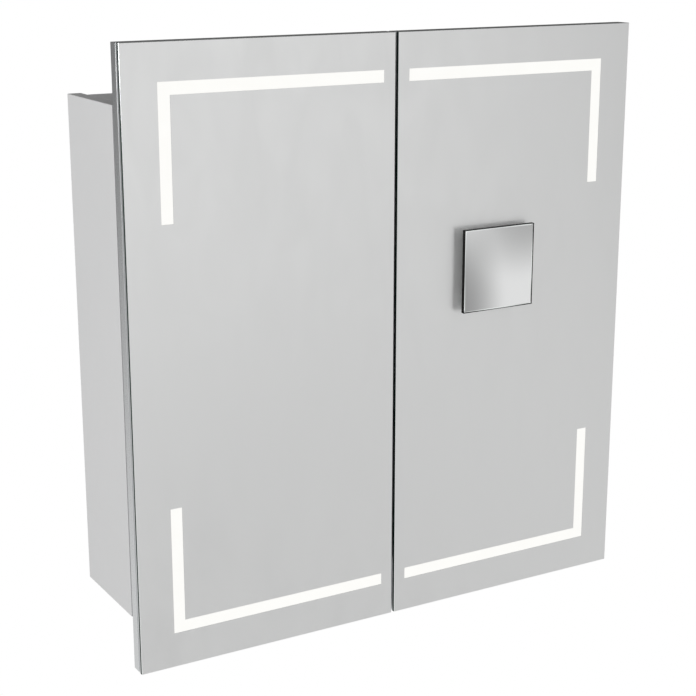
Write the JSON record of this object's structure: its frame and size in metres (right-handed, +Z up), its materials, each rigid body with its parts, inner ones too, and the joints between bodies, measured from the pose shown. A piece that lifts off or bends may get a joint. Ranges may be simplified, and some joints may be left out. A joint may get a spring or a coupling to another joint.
{
  "type": "illuminated mirror cabinet",
  "caption": "Wall-hung cabinet with two overlay mirror doors, corner light lines and a square pull-off magnifying mirror.",
  "frame": {"origin": "on the wall plane, midway between the cabinet sides and midway between the top and bottom of the doors, at the centre of the four wall screws", "axes": "+Z up, -Y out of the mirror faces, +Y into the wall, +X to the right as seen from the front"},
  "size_m": [0.663, 0.166, 0.7],
  "materials": {
    "lacquered_board": "light grey satin lacquer on board",
    "timber": "plain beech",
    "nickel": "nickel plated",
    "steel": "zinc plated",
    "shelf_glass": "clear with green edges",
    "white_plastic": "fine texture",
    "dark_plastic": "satin",
    "black_plastic": "satin black",
    "grey_plastic": "fine texture",
    "mirror_glass": "silvered float glass, ground edges",
    "lit_window": "frosted and lit from behind",
    "channel_aluminium": "anodised",
    "light_strip": "white circuit board with yellow lamps",
    "backing": "white foamed sheet",
    "edge_aluminium": "satin anodised",
    "buffer_rubber": "clear soft plastic"
  },
  "bodies": {
    "cabinet": {"side_panel_left": "lacquered_board", "side_panel_right": "lacquered_board", "top_panel": "lacquered_board", "bottom_panel": "lacquered_board", "back_panel": "lacquered_board", "upper_wall_rail": "timber", "lower_wall_rail": "timber", "joint_dowels": "timber", "shelf_upper": "shelf_glass", "shelf_lower": "shelf_glass", "shelf_pins": "nickel", "hinge_plates_left": "nickel", "hinge_plates_right": "nickel", "hinge_arms_left": "nickel", "hinge_arms_right": "nickel", "arm_pins": "steel", "plate_screws": "steel", "driver_case": "white_plastic", "driver_lid": "white_plastic", "cable_grommet": "dark_plastic", "sensor_case": "white_plastic", "sensor_window": "dark_plastic"},
    "hinge_link_left": {"hinge_links_left": "steel"},
    "hinge_link_right": {"hinge_links_right": "steel"},
    "door_left": {"mirror_glass_left": "mirror_glass", "light_windows_left": "lit_window", "light_channels_left": "channel_aluminium", "light_strips_left": "light_strip", "backing_sheet_left": "backing", "door_board_left": "lacquered_board", "edge_profile_outer_left": "edge_aluminium", "edge_profile_seam_left": "edge_aluminium", "edge_profile_top_left": "edge_aluminium", "edge_profile_bottom_left": "edge_aluminium", "hinge_cups_left": "nickel", "cup_pins_left": "steel", "cup_screws_left": "steel", "door_buffers_left": "buffer_rubber"},
    "door_right": {"mirror_glass_right": "mirror_glass", "light_windows_right": "lit_window", "light_channels_right": "channel_aluminium", "light_strips_right": "light_strip", "backing_sheet_right": "backing", "door_board_right": "lacquered_board", "edge_profile_outer_right": "edge_aluminium", "edge_profile_seam_right": "edge_aluminium", "edge_profile_top_right": "edge_aluminium", "edge_profile_bottom_right": "edge_aluminium", "hinge_cups_right": "nickel", "cup_pins_right": "steel", "cup_screws_right": "steel", "door_buffers_right": "buffer_rubber", "magnifier_steel_pad": "steel"},
    "magnifier": {"magnifier_base": "grey_plastic", "magnifier_magnets": "steel", "magnifier_frame": "black_plastic", "magnifier_mirror": "mirror_glass"}
  },
  "joints": [
    {"name": "hinge_link_left", "type": "hinge", "parent": "cabinet", "child": "hinge_link_left", "pos_m": [-0.3035, -0.1255, 0], "axis": [0, 0, -1], "range_deg": [-33.34, 0]},
    {"name": "door_left", "type": "hinge", "parent": "hinge_link_left", "child": "door_left", "pos_m": [-0.3211, -0.1363, 0], "axis": [0, 0, -1], "range_deg": [0, 133.33]},
    {"name": "hinge_link_right", "type": "hinge", "parent": "cabinet", "child": "hinge_link_right", "pos_m": [0.3035, -0.1255, 0], "axis": [0, 0, 1], "range_deg": [-33.34, 0]},
    {"name": "door_right", "type": "hinge", "parent": "hinge_link_right", "child": "door_right", "pos_m": [0.3211, -0.1363, 0], "axis": [0, 0, 1], "range_deg": [0, 133.33]},
    {"name": "magnifier_pull", "type": "slide", "parent": "door_right", "child": "magnifier", "axis": [0, -1, 0], "range_m": [0, 0.06]}
  ],
  "couplings": [
    {"joint": "hinge_link_left", "follows": "door_left", "ratio": -0.25},
    {"joint": "hinge_link_right", "follows": "door_right", "ratio": -0.25}
  ]
}
